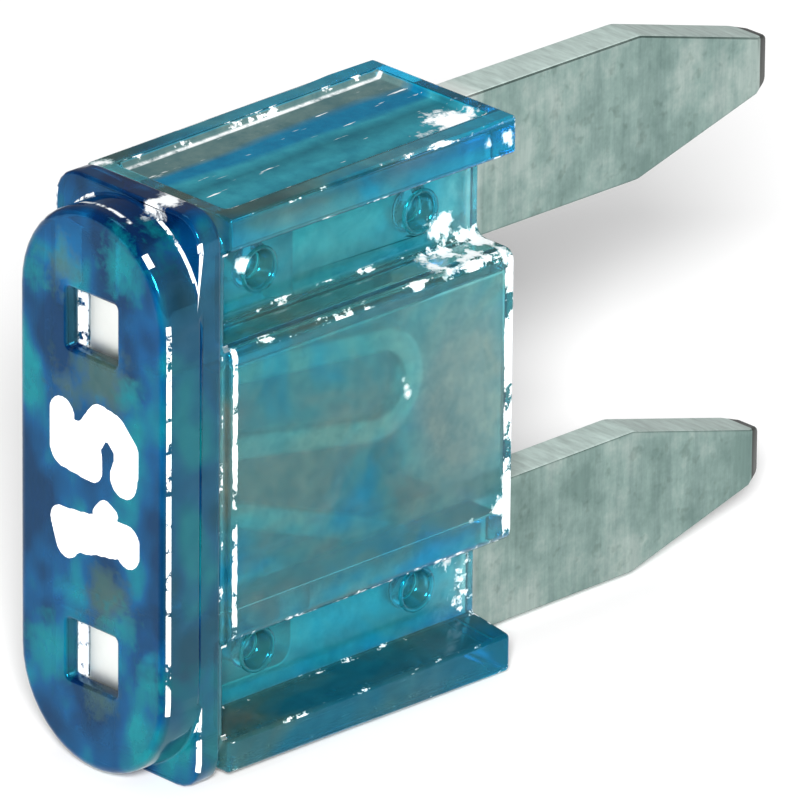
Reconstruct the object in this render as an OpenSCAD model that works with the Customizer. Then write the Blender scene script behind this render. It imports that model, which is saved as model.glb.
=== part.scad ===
// Small automotive blade fuse, standing on its narrow side.
// X runs from the cap to the blade tips, Y through the thickness, Z across both blades.

/* [Housing] */
// Length of the moulding, from the cap's face to the open end
housing_l = 8.5; // [8:0.1:9.5]
// Width of the collar, the widest part of the fuse
collar_w = 10.9; // [10.5:0.05:12]
// Thickness of the collar
collar_t = 3.74; // [3.64:0.02:4]
// Length of the collar
collar_l = 0.5; // [0.3:0.05:0.6]
// Radius of the collar's four corners
collar_corner_r = 0.6; // [0.3:0.05:0.9]
// How far the collar stands out past each narrow side of the body at the open end
collar_step = 0.08; // [0.04:0.01:0.15]
// Thickness of the body over its rails
body_t = 3.7; // [3.4:0.05:3.9]
// How much closer each narrow side of the body is to the middle at the collar than at the open end
side_draft = 0.1; // [0:0.01:0.12]
// Length of the groove between the collar and the body
groove_l = 0.22; // [0.1:0.02:0.4]
// Depth of that groove all round
groove_d = 0.14; // [0.05:0.01:0.2]

/* [Cap] */
// How far the collar stands out past each round end of the cap
nose_step = 0.12; // [0.05:0.01:0.25]
// Thickness of the cap, the thickest part of the fuse
nose_t = 3.8; // [3.7:0.02:4]
// How far the cap stands out of the collar
nose_l = 0.86; // [0.6:0.02:1]
// Radius of the cap's front rim
nose_rim_r = 0.18; // [0.05:0.01:0.3]
// Size of each test window across the blades
window_w = 1.15; // [0.9:0.05:1.3]
// Size of each test window through the thickness
window_t = 1.3; // [0.9:0.05:1.5]
// Depth from the cap's face to the metal behind a window
window_d = 0.32; // [0.2:0.02:0.6]
// Distance from the metal's inner edge to the edge of its window
window_inset = 0.12; // [0.05:0.01:0.3]

/* [Body section] */
// Width of each blade channel at its floor
channel_w = 1.69; // [1.5:0.01:1.8]
// How far the panel stands above the floor of the blade channels
panel_h = 0.94; // [0.8:0.02:1]
// Radius along both edges of the panel
panel_edge_r = 0.22; // [0.1:0.02:0.3]
// Width of each rail at its outer face
rail_w = 0.72; // [0.5:0.02:0.8]
// How much wider each rail is at the channel floor
rail_slope = 0.14; // [0:0.02:0.2]
// Radius along the edges of the rails
rail_edge_r = 0.09; // [0.03:0.01:0.15]
// Depth of the long recess in each narrow side
recess_d = 0.12; // [0.05:0.01:0.16]
// Width of the lips beside that recess
recess_lip = 0.47; // [0.3:0.01:0.7]
// Length of plastic left at each end of that recess
recess_end = 0.34; // [0.2:0.02:0.6]

/* [Hollow inside] */
// Thickness of the broad walls in front of and behind the fuse link
wall = 0.55; // [0.45:0.01:0.65]
// Width of the ledge between that room and the metal's inner edge
pocket_ledge = 0.11; // [0.05:0.01:0.2]
// Distance from the cap's face to that room
pocket_start = 1.5; // [1.2:0.05:1.6]
// Clearance round the metal in its slot
slot_gap = 0.03; // [0.01:0.01:0.05]

/* [Staking] */
// Radius of each plastic stake that holds the metal
stake_r = 0.38; // [0.3:0.01:0.42]
// Distance from the cap's face to the first stakes
stake_1 = 3.15; // [3:0.05:3.3]
// Distance from the cap's face to the second stakes
stake_2 = 7.05; // [6.8:0.05:7.3]
// Depth of the dimple that the staking tool leaves
dimple_d = 0.28; // [0.1:0.02:0.35]
// Clearance between a stake and its hole in the metal
stake_gap = 0.04; // [0.02:0.01:0.08]

/* [Blades] */
// Width of a blade
blade_w = 2.8; // [2.7:0.02:2.9]
// Thickness of the blades and of the metal in the housing
blade_t = 0.8; // [0.7:0.02:0.84]
// How far the blades stand out of the housing
blade_l = 7.9; // [7:0.1:9]
// Distance from each narrow side of the body in to the blade's outer edge
blade_inset = 0.11; // [0.05:0.01:0.2]
// Length of the tapered end of a blade
taper_l = 3.4; // [2.5:0.1:4]
// Width of a blade's tip
tip_w = 0.9; // [0.6:0.05:1.2]
// Radius of the corner where a blade starts to taper
taper_r = 0.5; // [0.1:0.05:1]
// Radius of the tip's two corners
tip_r = 0.14; // [0.05:0.01:0.25]
// Length of the bevel on both faces of the tip
tip_bevel_l = 0.4; // [0.2:0.05:0.8]
// Depth of that bevel
tip_bevel_d = 0.18; // [0.1:0.01:0.28]

/* [Metal in the housing] */
// Distance from a blade's outer edge in to the edge of the metal inside the side wall
shoulder = 0.43; // [0.41:0.01:0.5]
// Gap between the end of the housing and the blade's shoulder
shoulder_gap = 0.05; // [0:0.01:0.1]
// Distance from the cap's face to the end of the metal behind a window
head_l = 2.1; // [2:0.05:2.3]
// Length of the notch in the metal round the first stake
notch_l = 2.1; // [1.9:0.05:2.2]
// Width of the metal that is left beside that notch
neck_w = 0.6; // [0.5:0.02:0.65]
// Radius of the notch's inner corners
notch_r = 0.3; // [0.1:0.05:0.4]
// Radius of the other corners that the punch leaves
punch_r = 0.1; // [0.02:0.01:0.15]

/* [Fuse link] */
// Width of the link
link_w = 0.44; // [0.3:0.02:0.5]
// Thickness of the link
link_t = 0.3; // [0.2:0.02:0.4]
// Radius of the bend near the open end, at the middle of the link
bend_1_r = 0.85; // [0.75:0.01:0.9]
// Radius of the bend near the cap, at the middle of the link
bend_2_r = 0.62; // [0.55:0.01:0.65]
// Distance from the cap's face to the middle of the bend near the open end
bend_1_l = 6.55; // [6.3:0.05:6.7]
// Distance from the cap's face to the middle of the bend near the cap
bend_2_l = 3.1; // [2.9:0.05:3.3]
// Height of the middle of the first bend above the fuse's centre line
bend_1_up = 0.3; // [0.2:0.02:0.4]
// Depth of the middle of the second bend below the fuse's centre line
bend_2_down = 0.55; // [0.45:0.02:0.6]
// Slope of the leg that comes from the upper head
leg_1_slope = 6; // [4:0.5:8]
// Distance from the cap's face to where the link meets the lower blade
leg_3_foot = 6.9; // [6.2:0.1:7.5]
// Radius of the small bend where the link leaves the upper head
root_r = 0.4; // [0.3:0.02:0.45]

/* [Hidden] */
eps = 0.01;
over = 1;
round_fn = 48;
fillet_steps = 5;
bend_step = 10;

overall_l = housing_l + blade_l;
collar_end = nose_l + collar_l;
body_start = collar_end + groove_l;
body_l = housing_l - body_start;
body_half_w = collar_w / 2 - collar_step;
nose_w = collar_w - 2 * nose_step;
floor_y = body_t / 2 - panel_h;
rail_in_w = body_half_w - rail_w;
rail_foot_w = rail_in_w - rail_slope;
panel_half_w = rail_foot_w - channel_w;
recess_half_t = body_t / 2 - recess_lip;
recess_from = body_start + recess_end;
recess_to = housing_l - recess_end;

// The metal's edges, as distances from the fuse's centre line
blade_out = body_half_w - blade_inset;
blade_in = blade_out - blade_w;
blade_mid = (blade_out + blade_in) / 2;
shank_out = blade_out - shoulder;
shank_mid = (shank_out + blade_in) / 2;
neck_in = shank_out - neck_w;
shoulder_l = housing_l + shoulder_gap;
notch_end = head_l + notch_l;
metal_half_t = blade_t / 2;
slot_half_t = metal_half_t + slot_gap;
pocket_half_t = body_t / 2 - wall;
pocket_half_w = blade_in - pocket_ledge;
stake_hole_r = stake_r + stake_gap;

// The fuse link's centre line, in the plane of the blades
bend_1 = [bend_1_l, bend_1_up];
bend_2 = [bend_2_l, -bend_2_down];
bend_gap = norm(bend_1 - bend_2);
bend_line = atan2(bend_2[1] - bend_1[1], bend_2[0] - bend_1[0]) + 360;
leg_2_heading = bend_line - asin((bend_1_r + bend_2_r) / bend_gap);
link_foot = [leg_3_foot, -blade_in - link_w / 2];
foot_line = link_foot - bend_2;
leg_3_heading = atan2(foot_line[1], foot_line[0]) + asin(bend_2_r / norm(foot_line)) + 360;
leg_1_end = bend_1 + bend_1_r * [sin(leg_1_slope), cos(leg_1_slope)];
root_l = head_l - link_w / 2;
root_end = root_l + root_r * (1 - sin(leg_1_slope));
root_w = leg_1_end[1] + (leg_1_end[0] - root_end) * tan(leg_1_slope) + root_r * cos(leg_1_slope);

function arc_point(centre, r, angle) = centre + r * [cos(angle), sin(angle)];

function arc(centre, r, from, to) =
    let (n = max(2, ceil(abs(to - from) / bend_step)))
    [for (i = [0:n]) arc_point(centre, r, from + (to - from) * i / n)];

function unit(v) = v / norm(v);

// One corner of an outline, rounded by a radius that touches both of its sides
function rounded_corner(before, corner, after, r) =
    let (
        u = unit(before - corner),
        v = unit(after - corner),
        half = acos(u * v) / 2,
        reach = min(r / tan(half), norm(before - corner) / 2, norm(after - corner) / 2),
        true_r = reach * tan(half),
        centre = corner + unit(u + v) * reach / cos(half),
        first = corner + u * reach - centre,
        last = corner + v * reach - centre,
        start = atan2(first[1], first[0]),
        turn = atan2(first[0] * last[1] - first[1] * last[0], first * last)
    )
    r <= 0 ? [corner]
    : [for (i = [0:fillet_steps]) arc_point(centre, true_r, start + turn * i / fillet_steps)];

// An outline from corners given as [x, y, radius]
function rounded_outline(corners) =
    let (n = len(corners), at = [for (c = corners) [c[0], c[1]]])
    [for (i = [0:n - 1])
        each rounded_corner(at[(i + n - 1) % n], at[i], at[(i + 1) % n], corners[i][2])];

function mirrored(corners) = [for (i = [len(corners) - 1:-1:0]) [-corners[i][0], corners[i][1], corners[i][2]]];
function turned(corners) = [for (c = corners) [-c[0], -c[1], c[2]]];

// One side of a strip that follows a path, at a distance to the path's left
function strip_side(path, side) =
    [for (i = [0:len(path) - 1])
        let (ahead = unit(path[min(i + 1, len(path) - 1)] - path[max(i - 1, 0)]))
        path[i] + side * [-ahead[1], ahead[0]]];

function reversed(list) = [for (i = [len(list) - 1:-1:0]) list[i]];

// Half the width of the body at a length from the cap's face
function side_at(l) = body_half_w - side_draft * (housing_l - l) / body_l;

// Puts a section drawn in thickness and width along the length
module along_length(from, to) {
    translate([from, 0, 0]) rotate([90, 0, 90]) linear_extrude(to - from) children();
}

// Puts a shape drawn in length and width through the thickness
module through_thickness(half) {
    translate([0, half, 0]) rotate([90, 0, 0]) linear_extrude(2 * half) children();
}

// Repeats a shape on the other side of the fuse's centre line
module both_sides() {
    children();
    mirror([0, 0, 1]) children();
}

module place() {
    translate([-overall_l / 2, 0, collar_w / 2]) children();
}

module rounded_block(half_t, half_w, r) {
    polygon(rounded_outline([
        [-half_t, -half_w, r], [half_t, -half_w, r], [half_t, half_w, r], [-half_t, half_w, r]
    ]));
}

// The cap's profile from the middle of its face out to one edge, as [across, along]
nose_half = concat(
    [[0, 0]],
    arc([nose_t / 2 - nose_rim_r, nose_rim_r], nose_rim_r, -90, 0),
    [[nose_t / 2, nose_l]]
);

module nose_end() {
    translate([0, 0, (nose_w - nose_t) / 2])
        rotate([0, 90, 0])
            rotate_extrude($fn = round_fn) polygon(concat([[0, nose_l]], nose_half));
}

module nose_middle() {
    near = [for (p = nose_half) [p[1], -p[0]]];
    far = [for (p = reversed(nose_half)) [p[1], p[0]]];
    linear_extrude(nose_w - nose_t, center = true) polygon(concat(near, far));
}

module nose() {
    nose_middle();
    both_sides() nose_end();
}

module collar() {
    along_length(nose_l - eps, collar_end)
        rounded_block(collar_t / 2, collar_w / 2, collar_corner_r);
    along_length(collar_end - eps, body_start + eps)
        rounded_block(body_t / 2 - groove_d, side_at(body_start) - groove_d, collar_corner_r);
}

// The section of the body: middle panel, two blade channels and a rail at each edge
module body_section() {
    upper_right = [
        [body_t / 2, panel_half_w, panel_edge_r],
        [floor_y, panel_half_w, panel_edge_r],
        [floor_y, rail_foot_w, rail_edge_r],
        [body_t / 2, rail_in_w, rail_edge_r],
        [body_t / 2, body_half_w, rail_edge_r]
    ];
    top = concat(upper_right, mirrored(upper_right));
    polygon(rounded_outline(concat(top, turned(top))));
}

module body() {
    intersection() {
        along_length(body_start, housing_l) body_section();
        through_thickness(body_t) polygon([
            [body_start, -side_at(body_start)], [housing_l, -body_half_w],
            [housing_l, body_half_w], [body_start, side_at(body_start)]
        ]);
    }
}

module side_recess() {
    through_thickness(recess_half_t) polygon([
        [recess_from, side_at(recess_from) - recess_d], [recess_to, side_at(recess_to) - recess_d],
        [recess_to, body_half_w + over], [recess_from, body_half_w + over]
    ]);
}

module window() {
    translate([-over, -window_t / 2, blade_in + window_inset])
        cube([over + window_d + eps, window_t, window_w]);
}

// The room for the link and the flat slot for the metal, both open at the blade end
module hollow() {
    translate([pocket_start, -pocket_half_t, -pocket_half_w])
        cube([housing_l - pocket_start + over, 2 * pocket_half_t, 2 * pocket_half_w]);
    both_sides()
        translate([window_d, -slot_half_t, pocket_half_w - eps])
            cube([housing_l - window_d + over, 2 * slot_half_t, shank_out + slot_gap - pocket_half_w + eps]);
}

module stake_at(l) {
    translate([l, 0, shank_mid]) rotate([90, 0, 0])
        cylinder(h = 2 * floor_y - 2 * eps, r = stake_r, center = true, $fn = round_fn);
}

module dimple_at(l) {
    for (side = [-1, 1])
        translate([l, side * floor_y, shank_mid]) rotate([side * 90, 0, 0])
            translate([0, 0, -over])
                cylinder(h = over + dimple_d, r1 = stake_r + over / 2, r2 = stake_r - dimple_d / 2, $fn = round_fn);
}

module housing() {
    color([0.16, 0.55, 0.68, 0.6]) place() difference() {
        union() {
            difference() {
                union() {
                    nose();
                    collar();
                    body();
                }
                hollow();
            }
            both_sides() for (l = [stake_1, stake_2]) stake_at(l);
        }
        both_sides() {
            window();
            side_recess();
            for (l = [stake_1, stake_2]) dimple_at(l);
        }
    }
}

// One blade with its shank, neck and head, drawn in length and width
module blade_outline() {
    taper_from = overall_l - taper_l;
    polygon(rounded_outline([
        [window_d, blade_in, punch_r],
        [head_l, blade_in, punch_r],
        [head_l, neck_in, notch_r],
        [notch_end, neck_in, notch_r],
        [notch_end, blade_in, punch_r],
        [taper_from, blade_in, taper_r],
        [overall_l, blade_mid - tip_w / 2, tip_r],
        [overall_l, blade_mid + tip_w / 2, tip_r],
        [taper_from, blade_out, taper_r],
        [shoulder_l, blade_out, punch_r],
        [shoulder_l, shank_out, punch_r / 2],
        [window_d, shank_out, punch_r]
    ]));
}

// The blade's profile seen from its edge, with the bevelled tip
module blade_profile() {
    tip_half = metal_half_t - tip_bevel_d;
    polygon([
        [0, -metal_half_t], [overall_l - tip_bevel_l, -metal_half_t], [overall_l, -tip_half],
        [overall_l, tip_half], [overall_l - tip_bevel_l, metal_half_t], [0, metal_half_t]
    ]);
}

module blade() {
    difference() {
        intersection() {
            through_thickness(metal_half_t) blade_outline();
            linear_extrude(collar_w) blade_profile();
        }
        translate([stake_2, 0, shank_mid]) rotate([90, 0, 0])
            cylinder(h = 2 * blade_t, r = stake_hole_r, center = true, $fn = round_fn);
    }
}

module fuse_link() {
    path = concat(
        [[root_l, blade_in + link_w / 2]],
        arc([root_l + root_r, root_w], root_r, 180, 270 - leg_1_slope),
        arc(bend_1, bend_1_r, 90 - leg_1_slope, leg_2_heading + 90 - 360),
        arc(bend_2, bend_2_r, leg_2_heading - 90, leg_3_heading - 90),
        [link_foot]
    );
    through_thickness(link_t / 2)
        polygon(concat(strip_side(path, link_w / 2), reversed(strip_side(path, -link_w / 2))));
}

module fuse_element() {
    color([0.62, 0.65, 0.61]) place() {
        both_sides() blade();
        fuse_link();
    }
}

housing();
fuse_element();
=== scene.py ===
"""Looks for a small automotive blade fuse: clear blue moulding, stamped zinc element and printed rating."""

import math

import bmesh
import bpy
from bpy.props import FloatProperty, FloatVectorProperty, PointerProperty
from mathutils import Matrix, Vector


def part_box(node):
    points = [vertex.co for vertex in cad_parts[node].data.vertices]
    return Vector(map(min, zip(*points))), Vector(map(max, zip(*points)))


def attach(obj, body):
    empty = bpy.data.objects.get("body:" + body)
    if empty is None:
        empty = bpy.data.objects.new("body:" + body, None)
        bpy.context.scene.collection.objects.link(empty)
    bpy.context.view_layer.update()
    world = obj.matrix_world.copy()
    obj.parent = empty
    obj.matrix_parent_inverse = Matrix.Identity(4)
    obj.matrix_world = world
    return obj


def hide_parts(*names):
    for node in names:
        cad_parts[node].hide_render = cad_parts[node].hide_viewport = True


bl_info = {
    "name": "Blade Fuse Dresser",
    "version": (1, 0, 0),
    "blender": (4, 5, 0),
    "location": "3D View > Sidebar > Fuse",
    "description": "Dresses a small automotive blade fuse in clear plastic, zinc and print",
    "category": "Object",
}

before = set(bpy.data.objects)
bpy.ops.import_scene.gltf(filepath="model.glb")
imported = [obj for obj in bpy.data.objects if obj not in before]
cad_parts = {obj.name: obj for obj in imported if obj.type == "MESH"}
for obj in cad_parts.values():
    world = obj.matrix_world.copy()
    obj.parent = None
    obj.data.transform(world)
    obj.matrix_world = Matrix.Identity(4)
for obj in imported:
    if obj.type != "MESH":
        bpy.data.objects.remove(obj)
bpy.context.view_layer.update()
HOUSING_LOW, HOUSING_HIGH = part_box("housing")

MM = 0.001
BODY = "root"

# Places on the fuse, from the frame, in metres
CAP_FACE = HOUSING_LOW.x
MIDDLE = (HOUSING_LOW.z + HOUSING_HIGH.z) / 2

# Depth of the cap and collar behind the cap's face, and where the groove behind them ends along X, in
# millimetres
CAP_DEPTH = 1.5
GROOVE_END = -6.5
# Heights above and below the middle, in millimetres
PANEL_UP = 2.7
CHANNEL_UP = 2.9
RAIL_UP = 4.5
FIELD_UP = 5.0
FRAME_UP = 5.3
# Distances out from the middle plane, in millimetres
LEDGE_OUT = 0.66
CHANNEL_OUT = 0.8
FIELD_OUT = 1.42
FRAME_OUT = 1.47
PROUD_OUT = 1.6
PANEL_OUT = 1.7
# The matt fields' middle and half length along X, in millimetres
FIELD_X = -3.1
FIELD_REACH = 3.1
# Where the coined facets at the blades' tips start along X, in millimetres; from there the metal is painted
# near black as shade
COINED_X = 7.92

# How a CAD copy is cleaned: distances in millimetres, areas in square millimetres, angles in radians
SAME_POINT = 0.004
NEARLY_FLAT = math.radians(0.5)
SAME_PLANE = math.radians(0.3)
ROUNDED_ANGLE = math.radians(32)
SHARP_ANGLE = math.radians(40)
OVERLAP = 0.2

# Fineness of the printed digits, in millimetres
INK_GRAIN = 0.03

# Painted white glints in spots on the broad sides: along X, up from the middle, size, unevenness, and the
# least distance from the middle plane, in millimetres
SIDE_GLINTS = (
    (-0.68, 3.18, 0.26, 0.6, CHANNEL_OUT),
    (-1.0, 3.5, 0.05, 0.3, CHANNEL_OUT),
    (-5.45, 3.84, 0.12, 0.3, CHANNEL_OUT),
    (-5.0, 3.70, 0.12, 0.3, CHANNEL_OUT),
    (-1.3, 2.75, 0.07, 0.6, CHANNEL_OUT),
    (-0.75, 2.85, 0.1, 0.9, CHANNEL_OUT),
    (-0.3, 2.95, 0.12, 0.9, CHANNEL_OUT),
    (0.1, 2.8, 0.13, 0.7, CHANNEL_OUT),
    (0.02, 5.05, 0.12, 0.4, PROUD_OUT),
    (-0.4, 5.0, 0.04, 0.3, PROUD_OUT),
    (-2.31, 0.78, 0.06, 0.1, PROUD_OUT),
    (-2.35, 0.92, 0.05, 0.1, PROUD_OUT),
    (-2.42, 1.08, 0.035, 0.1, PROUD_OUT),
    (-4.75, -3.05, 0.12, 0.3, CHANNEL_OUT),
    (0.05, -2.05, 0.15, 0.6, PROUD_OUT),
    (0.14, -1.6, 0.1, 0.4, PROUD_OUT),
    (-0.75, -2.15, 0.04, 0.4, PROUD_OUT),
    (-0.45, -3.2, 0.12, 0.9, CHANNEL_OUT),
    (-0.05, -3.5, 0.1, 0.9, CHANNEL_OUT),
    (-0.05, -4.0, 0.1, 0.9, CHANNEL_OUT),
)
# Painted white glints in spots on the top: along X, across, size and unevenness, in millimetres
TOP_GLINTS = (
    (-7.05, -0.75, 0.3, 0.9),
    (-0.55, -1.0, 0.4, 0.9),
    (-1.25, -1.15, 0.1, 0.6),
    (-6.5, 1.6, 0.1, 0.6),
)
# Patches in the cap's colour: across, up from the middle, size in millimetres, and which colour
CAP_PATCHES = (
    (0.75, 4.05, 0.3, "cap_smoky"),
    (1.5, 3.77, 0.2, "cap_teal"),
    (-0.8, 4.5, 0.4, "cap_teal"),
    (-0.3, 2.3, 0.6, "cap_smoky"),
    (-1.0, 2.15, 0.15, "cap_teal"),
    (0.6, 1.9, 0.25, "cap_smoky"),
    (-0.45, -1.9, 0.5, "cap_smoky"),
    (1.12, -3.3, 0.4, "cap_teal"),
    (-0.75, -2.3, 0.25, "cap_teal"),
    (-0.2, -3.85, 0.2, "cap_smoky"),
    (-1.5, -3.2, 0.3, "cap_teal"),
)
# Bands of painted white highlight on the broad sides: middle along X and half width in millimetres, and
# amount of highlight
HIGHLIGHT_BANDS = (
    (-6.49, 0.07, 0.8),
    (0.17, 0.12, 0.82),
    (-6.75, 0.1, 0.55),
)


# Small helpers for meshes and node trees


def new_object(name, mesh):
    piece = bpy.data.objects.new(name, mesh)
    bpy.context.scene.collection.objects.link(piece)
    return piece


def direction(azimuth, elevation):
    """A unit vector towards a place round the fuse, from the front at azimuth 0."""
    level = math.cos(elevation)
    return Vector((math.sin(azimuth) * level, -math.cos(azimuth) * level, math.sin(elevation)))


def solid_copy(node, name, edge_round, steps):
    """A copy of a CAD node as one clean shell, with its edges rounded and its flats kept flat."""
    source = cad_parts[node]
    mesh = source.data.copy()
    mesh.name = name
    mesh.transform(source.matrix_world)
    mesh.materials.clear()
    join_flats(mesh)
    piece = new_object(name, mesh)
    round_edges(piece, edge_round * MM, steps)
    mend_flats(piece.data)
    low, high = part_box(node)
    for vertex in piece.data.vertices:
        vertex.co = Vector(min(max(c, a), b) for c, a, b in zip(vertex.co, low, high))
    flat = piece.modifiers.new("flat_normals", "WEIGHTED_NORMAL")
    flat.keep_sharp = True
    flat.weight = 100
    apply_modifiers(piece)
    return piece


def join_flats(mesh):
    """Merges points that coincide and joins the triangles of each flat."""
    shell = bmesh.new()
    shell.from_mesh(mesh)
    bmesh.ops.remove_doubles(shell, verts=shell.verts, dist=SAME_POINT * MM)
    bmesh.ops.dissolve_limit(shell, angle_limit=NEARLY_FLAT, verts=shell.verts, edges=shell.edges)
    shell.to_mesh(mesh)
    shell.free()


def round_edges(piece, width, steps):
    """Rounds every edge of the solid and leaves a plain mesh."""
    bevel = piece.modifiers.new("edge_round", "BEVEL")
    bevel.width = width
    bevel.segments = steps
    bevel.limit_method = "ANGLE"
    bevel.angle_limit = ROUNDED_ANGLE
    bevel.use_clamp_overlap = False
    bevel.miter_outer = "MITER_ARC"
    apply_modifiers(piece)


def mend_flats(mesh):
    """Marks the sharp edges and fills anew the flats that rounding left overlapping themselves."""
    shell = bmesh.new()
    shell.from_mesh(mesh)
    for face in shell.faces:
        face.smooth = True
    for edge in shell.edges:
        edge.smooth = edge.calc_face_angle(0) < SHARP_ANGLE
    for face in overlapping_faces(shell):
        if face.is_valid:
            fill_region(shell, flat_region(face))
    shell.to_mesh(mesh)
    shell.free()


def overlapping_faces(shell):
    """The faces whose triangles cover clearly more than the face's own area."""
    covered = {}
    for loops in shell.calc_loop_triangles():
        a, b, c = (loop.vert.co for loop in loops)
        face = loops[0].face
        covered[face] = covered.get(face, 0.0) + (b - a).cross(c - a).length / 2
    return [face for face, area in covered.items() if area > face.calc_area() + OVERLAP * MM * MM]


def flat_region(face):
    """A face with those that hang together with it in its plane, in a fixed order."""
    region = [face]
    waiting = [face]
    while waiting:
        neighbours = [other for edge in waiting.pop().edges for other in edge.link_faces]
        for other in neighbours:
            if other not in region and other.normal.angle(face.normal, 1.0) < SAME_PLANE:
                region.append(other)
                waiting.append(other)
    return region


def fill_region(shell, region):
    """Puts triangles in place of a flat region's faces, inside the same rim and turned the same way."""
    normal = region[0].normal.copy()
    edges = list(dict.fromkeys(edge for flat in region for edge in flat.edges))
    rim = [edge for edge in edges if sum(flat in region for flat in edge.link_faces) == 1]
    bmesh.ops.delete(shell, geom=region, context="FACES_ONLY")
    inner = [edge for edge in edges if not edge.link_faces]
    bmesh.ops.delete(shell, geom=inner, context="EDGES")
    filled = bmesh.ops.triangle_fill(shell, edges=rim, use_beauty=True, normal=normal)["geom"]
    triangles = [new for new in filled if isinstance(new, bmesh.types.BMFace)]
    for triangle in triangles:
        triangle.normal_update()
        triangle.smooth = False
        if triangle.normal.dot(normal) < 0:
            triangle.normal_flip()
    for edge in rim:
        edge.smooth = False
    against = sum(edge.calc_length() * (-1 if edge.is_contiguous else 1) for edge in rim)
    if against > 0:
        bmesh.ops.reverse_faces(shell, faces=triangles)


def apply_modifiers(piece):
    """Makes the evaluated shape the piece's own mesh."""
    depsgraph = bpy.context.evaluated_depsgraph_get()
    name = piece.data.name
    mesh = bpy.data.meshes.new_from_object(
        piece.evaluated_get(depsgraph), preserve_all_data_layers=True, depsgraph=depsgraph
    )
    piece.modifiers.clear()
    old = piece.data
    piece.data = mesh
    bpy.data.meshes.remove(old)
    mesh.name = name


class Tree:
    """Short ways to place and join nodes in a material's tree."""

    def __init__(self, name):
        self.material = bpy.data.materials.new(name)
        self.material.use_nodes = True
        self.nodes = self.material.node_tree.nodes
        self.links = self.material.node_tree.links
        self.nodes.clear()
        self.out = self.nodes.new("ShaderNodeOutputMaterial")
        self.place = self.nodes.new("ShaderNodeTexCoord").outputs["Object"]
        scaled = self.nodes.new("ShaderNodeSeparateXYZ")
        self.links.new(self.stretched((1.0, 1.0, 1.0)), scaled.inputs["Vector"])
        self.axes = scaled.outputs

    def add(self, kind, **settings):
        node = self.nodes.new(kind)
        for key, value in settings.items():
            setattr(node, key, value)
        return node

    def join(self, source, target):
        self.links.new(source, target)

    def shader(self, **values):
        node = self.add("ShaderNodeBsdfPrincipled")
        for key, value in values.items():
            node.inputs[key.replace("_", " ").title().replace("Ior", "IOR")].default_value = value
        self.join(node.outputs["BSDF"], self.out.inputs["Surface"])
        return node

    def stretched(self, scale):
        """Object coordinates in millimetres, stretched by a scale along each axis."""
        node = self.add("ShaderNodeMapping")
        node.inputs["Scale"].default_value = [s / MM for s in scale]
        self.join(self.place, node.inputs["Vector"])
        return node.outputs["Vector"]

    def noise(self, scale, detail=4.0, rough=0.5, distortion=0.0):
        node = self.add("ShaderNodeTexNoise")
        node.inputs["Scale"].default_value = 1.0
        node.inputs["Detail"].default_value = detail
        node.inputs["Roughness"].default_value = rough
        node.inputs["Distortion"].default_value = distortion
        self.join(self.stretched(scale), node.inputs["Vector"])
        return node.outputs["Fac"]

    def ramp(self, source, *stops):
        """A colour ramp with stops given as (place, colour)."""
        node = self.add("ShaderNodeValToRGB")
        elements = node.color_ramp.elements
        while len(elements) < len(stops):
            elements.new(1.0)
        for element, (at, colour) in zip(elements, stops):
            element.position = at
            element.color = (*colour, 1.0) if len(colour) == 3 else colour
        self.join(source, node.inputs["Fac"])
        return node.outputs["Color"]

    def spread(self, source, low, high):
        """Maps 0 to 1 onto low to high."""
        node = self.add("ShaderNodeMapRange")
        node.inputs["To Min"].default_value = low
        node.inputs["To Max"].default_value = high
        self.join(source, node.inputs["Value"])
        return node.outputs["Result"]

    def mix(self, mode, amount, first, second):
        node = self.add("ShaderNodeMix", data_type="RGBA", blend_type=mode)
        if isinstance(amount, float):
            node.inputs["Factor"].default_value = amount
        else:
            self.join(amount, node.inputs["Factor"])
        self.join(first, node.inputs[6])
        self.join(second, node.inputs[7])
        return node.outputs[2]

    def plain(self, colour):
        node = self.add("ShaderNodeRGB")
        node.outputs[0].default_value = (*colour, 1.0)
        return node.outputs[0]

    def along(self, axis):
        """The place along one axis, in millimetres."""
        return self.axes[axis]

    def apart(self, axis, middle):
        """The distance from a middle plane along one axis, in millimetres."""
        return self.maths("ABSOLUTE", self.maths("SUBTRACT", self.axes[axis], middle / MM))

    def maths(self, operation, *values):
        node = self.add("ShaderNodeMath", operation=operation)
        for socket, value in zip(node.inputs, values):
            if isinstance(value, (int, float)):
                socket.default_value = value
            else:
                self.join(value, socket)
        return node.outputs["Value"]

    def above(self, value, limit, over=True, soft=0.02):
        """1 where a value is over the limit, and 0 elsewhere, or the other way round."""
        node = self.add("ShaderNodeMapRange")
        node.inputs["From Min"].default_value = limit - soft
        node.inputs["From Max"].default_value = limit + soft
        node.inputs["To Min"].default_value = 0.0 if over else 1.0
        node.inputs["To Max"].default_value = 1.0 if over else 0.0
        self.join(value, node.inputs["Value"])
        return node.outputs["Result"]

    def patches(self, flat, spots, ragged, soft=0.06):
        """1 within a size of each (place, size, broken), measured along the axes that flat keeps."""
        flat = self.stretched(flat)
        edge = self.maths("SUBTRACT", ragged, 0.5)
        nearest = 1.0
        for place, size, broken in spots:
            node = self.add("ShaderNodeVectorMath", operation="DISTANCE")
            self.join(flat, node.inputs[0])
            node.inputs[1].default_value = place
            reach = self.maths("MULTIPLY_ADD", edge, 2 * broken, node.outputs["Value"])
            nearest = self.maths("MINIMUM", self.maths("SUBTRACT", reach, size), nearest)
        return self.above(nearest, 0.0, False, soft)

    def both(self, *masks):
        """1 where every mask is 1, or one mask times an amount."""
        result, *others = masks
        for other in others:
            result = self.maths("MULTIPLY", result, other)
        return result

    def most(self, *masks):
        """The largest of some masks."""
        result, *others = masks
        for other in others:
            result = self.maths("MAXIMUM", result, other)
        return result

    def tint(self, mask, body, colour):
        """The body's colour, turned to a plain colour where the mask is 1."""
        return self.mix("MIX", mask, body, self.plain(colour))

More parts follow.
